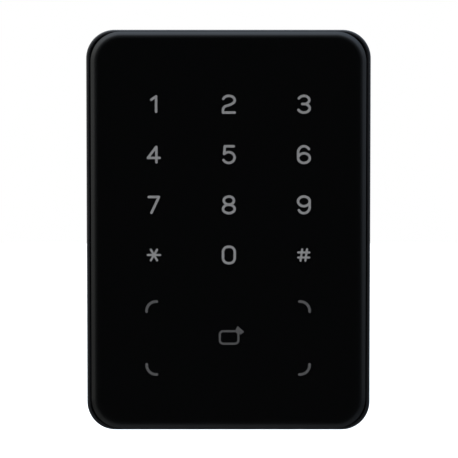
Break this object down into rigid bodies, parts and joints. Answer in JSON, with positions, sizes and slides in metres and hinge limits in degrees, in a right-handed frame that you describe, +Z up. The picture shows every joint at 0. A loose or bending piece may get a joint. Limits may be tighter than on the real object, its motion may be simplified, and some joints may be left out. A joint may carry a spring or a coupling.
{
  "type": "keypad access reader",
  "caption": "Wall-mounted access reader with a flat touch keypad, a card reading zone, a rounded black housing and a steel wall bracket.",
  "frame": {"origin": "centre of the wall bracket's rear face, on the plane of the wall", "axes": "+Z up, +Y into the wall, so the keypad faces -Y; +X to the right as seen from the front"},
  "size_m": [0.085, 0.022, 0.12],
  "materials": {
    "panel_gloss": "black, clear hard-coated, mirror gloss",
    "housing_plastic": "black moulded plastic, fine satin texture",
    "bracket_steel": "zinc-plated stamped sheet",
    "plated_steel": "nickel plated",
    "black_screw": "black oxide",
    "brass": "machined",
    "copper_wire": "enamelled copper wire",
    "black_rubber": "matt",
    "foam_tape": "matt foam",
    "white_plastic": "natural, slightly translucent",
    "circuit_board": "green solder mask",
    "chip_plastic": "moulded epoxy",
    "led_lens": "clear resin over phosphor",
    "ferrite": "pressed ferrite"
  },
  "bodies": {
    "bracket": {"wall_bracket": "bracket_steel"},
    "reader": {"rear_cover": "housing_plastic", "front_housing": "housing_plastic", "touch_panel": "panel_gloss", "panel_adhesive": "foam_tape", "housing_seal": "black_rubber", "diffuser_film": "white_plastic", "light_guide": "white_plastic", "touch_board": "circuit_board", "key_led_1": "led_lens", "key_led_2": "led_lens", "key_led_3": "led_lens", "key_led_4": "led_lens", "key_led_5": "led_lens", "key_led_6": "led_lens", "key_led_7": "led_lens", "key_led_8": "led_lens", "key_led_9": "led_lens", "key_led_star": "led_lens", "key_led_0": "led_lens", "key_led_hash": "led_lens", "zone_led_left": "led_lens", "zone_led_right": "led_lens", "touch_controller": "chip_plastic", "board_socket": "white_plastic", "board_header": "chip_plastic", "antenna_coil": "copper_wire", "ferrite_sheet": "ferrite", "main_board": "circuit_board", "microcontroller": "chip_plastic", "card_reader_chip": "chip_plastic", "bus_transceiver": "chip_plastic", "voltage_regulator": "chip_plastic", "crystal": "plated_steel", "power_inductor": "ferrite", "supply_capacitor": "plated_steel", "buzzer": "chip_plastic", "cable_connector": "white_plastic", "cable_grommet": "black_rubber", "board_screw_1": "plated_steel", "board_screw_2": "plated_steel", "board_screw_3": "plated_steel", "board_screw_4": "plated_steel", "cover_screw_1": "black_screw", "cover_screw_2": "black_screw", "cover_screw_3": "black_screw", "cover_screw_4": "black_screw", "lock_insert": "brass", "tamper_switch": "chip_plastic", "tamper_spring": "plated_steel"},
    "screw": {"lock_screw": "plated_steel"},
    "plunger": {"tamper_plunger": "white_plastic"}
  },
  "joints": [
    {"name": "reader_swing", "type": "hinge", "parent": "bracket", "child": "reader", "pos_m": [0, -0.0004, 0.0503], "axis": [-1, 0, 0], "range_deg": [0, 18]},
    {"name": "lock_screw_travel", "type": "slide", "parent": "reader", "child": "screw", "axis": [0, 0, -1], "range_m": [0, 0.0025]},
    {"name": "tamper_press", "type": "slide", "parent": "reader", "child": "plunger", "axis": [0, -1, 0], "range_m": [0, 0.002], "stiffness_N_per_m": 60, "springref_m": -0.006, "deforming": ["tamper_spring"]}
  ]
}
